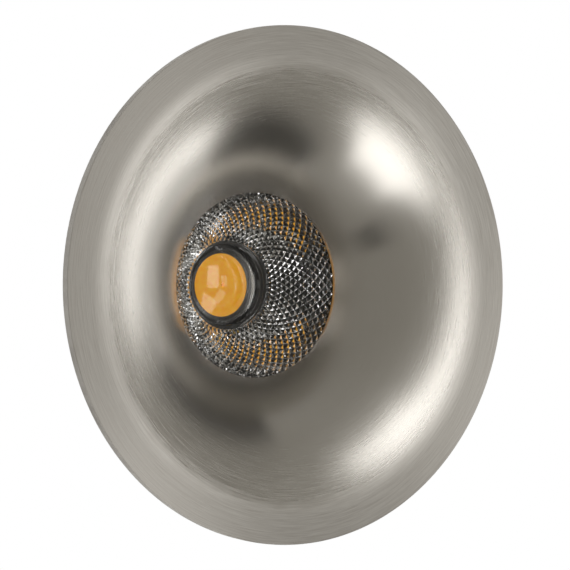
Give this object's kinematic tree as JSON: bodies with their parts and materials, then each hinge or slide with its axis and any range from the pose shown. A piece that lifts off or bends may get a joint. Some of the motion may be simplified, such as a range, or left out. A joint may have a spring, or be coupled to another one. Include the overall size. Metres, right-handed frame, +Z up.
{
  "type": "soffit downlight",
  "caption": "Recessed outdoor soffit downlight: brushed nickel trumpet bezel, clear knurled lens over a round LED, finned heat sink and sprung fixing clips.",
  "frame": {"origin": "centre of the soffit cut-out, on the face of the soffit that the bezel's gasket presses on", "axes": "+Z points up into the void above the soffit, the light leaves along -Z; the cable gland points along +X and the fixing clips stand at +Y and -Y"},
  "size_m": [0.102, 0.102, 0.0704],
  "materials": {
    "brushed_nickel": "brushed in circles",
    "black_foam": "closed-cell foam",
    "black_rubber": "matt",
    "grey_silicone": "satin",
    "black_casting": "fine powder coat",
    "black_moulding": "satin moulding",
    "grey_moulding": "satin moulding",
    "white_moulding": "satin moulding",
    "clear_acrylic": "polished clear acrylic, knurled back wall",
    "thermal_pad": "soft pad",
    "led_board": "black solder mask",
    "led_dam": "cast silicone ring",
    "led_phosphor": "glossy cast phosphor",
    "brass_contact": "pressed",
    "steel_screw": "zinc plated",
    "steel_pin": "turned",
    "spring_steel": "drawn wire",
    "zinc_steel": "zinc plated sheet",
    "clip_boot_rubber": "dipped sleeve",
    "red_insulation": "silicone insulation",
    "black_insulation": "silicone insulation"
  },
  "bodies": {
    "root": {"housing": "black_casting", "heat_sink": "black_casting", "heat_sink_gasket": "grey_silicone", "heat_sink_screws": "steel_screw", "lens": "clear_acrylic", "lens_seal": "grey_silicone", "lens_carrier": "black_moulding", "thermal_pad": "thermal_pad", "led_board": "led_board", "led_dam": "led_dam", "led_phosphor": "led_phosphor", "led_holder": "black_moulding", "led_holder_screws": "steel_screw", "led_contacts": "brass_contact", "lead_red": "red_insulation", "lead_black": "black_insulation", "wire_grommet": "black_rubber", "wiring_cover": "black_moulding", "wiring_cover_gasket": "grey_silicone", "wiring_cover_screws": "steel_screw", "gland_body": "grey_moulding", "gland_insert": "black_rubber", "gland_nut": "grey_moulding", "gland_locknut": "grey_moulding", "gland_washer": "black_rubber", "terminal_block": "white_moulding", "terminal_clamps": "brass_contact", "terminal_screws": "steel_screw", "terminal_block_screw": "steel_screw", "clip_bracket_screws": "steel_screw", "clip_bracket_left": "zinc_steel", "clip_pin_left": "steel_pin", "clip_spring_left": "spring_steel", "clip_bracket_right": "zinc_steel", "clip_pin_right": "steel_pin", "clip_spring_right": "spring_steel"},
    "bezel": {"bezel": "brushed_nickel", "soffit_gasket": "black_foam", "neck_seal": "black_rubber"},
    "clip_left": {"clip_arm_left": "zinc_steel", "clip_boot_left": "clip_boot_rubber"},
    "clip_right": {"clip_arm_right": "zinc_steel", "clip_boot_right": "clip_boot_rubber"}
  },
  "joints": [
    {"name": "bezel_twist", "type": "hinge", "parent": "root", "child": "bezel", "pos_m": [0, 0, 0.017], "axis": [0, 0, 1], "range_deg": [0, 30]},
    {"name": "clip_left_fold", "type": "hinge", "parent": "root", "child": "clip_left", "pos_m": [0, 0.0332, 0.011], "axis": [1, 0, 0], "range_deg": [0, 110], "stiffness_Nm_per_rad": 0.02, "springref_deg": -68.75, "deforming": ["clip_spring_left"]},
    {"name": "clip_right_fold", "type": "hinge", "parent": "root", "child": "clip_right", "pos_m": [0, -0.0332, 0.011], "axis": [-1, 0, 0], "range_deg": [0, 110], "stiffness_Nm_per_rad": 0.02, "springref_deg": -68.75, "deforming": ["clip_spring_right"]}
  ]
}
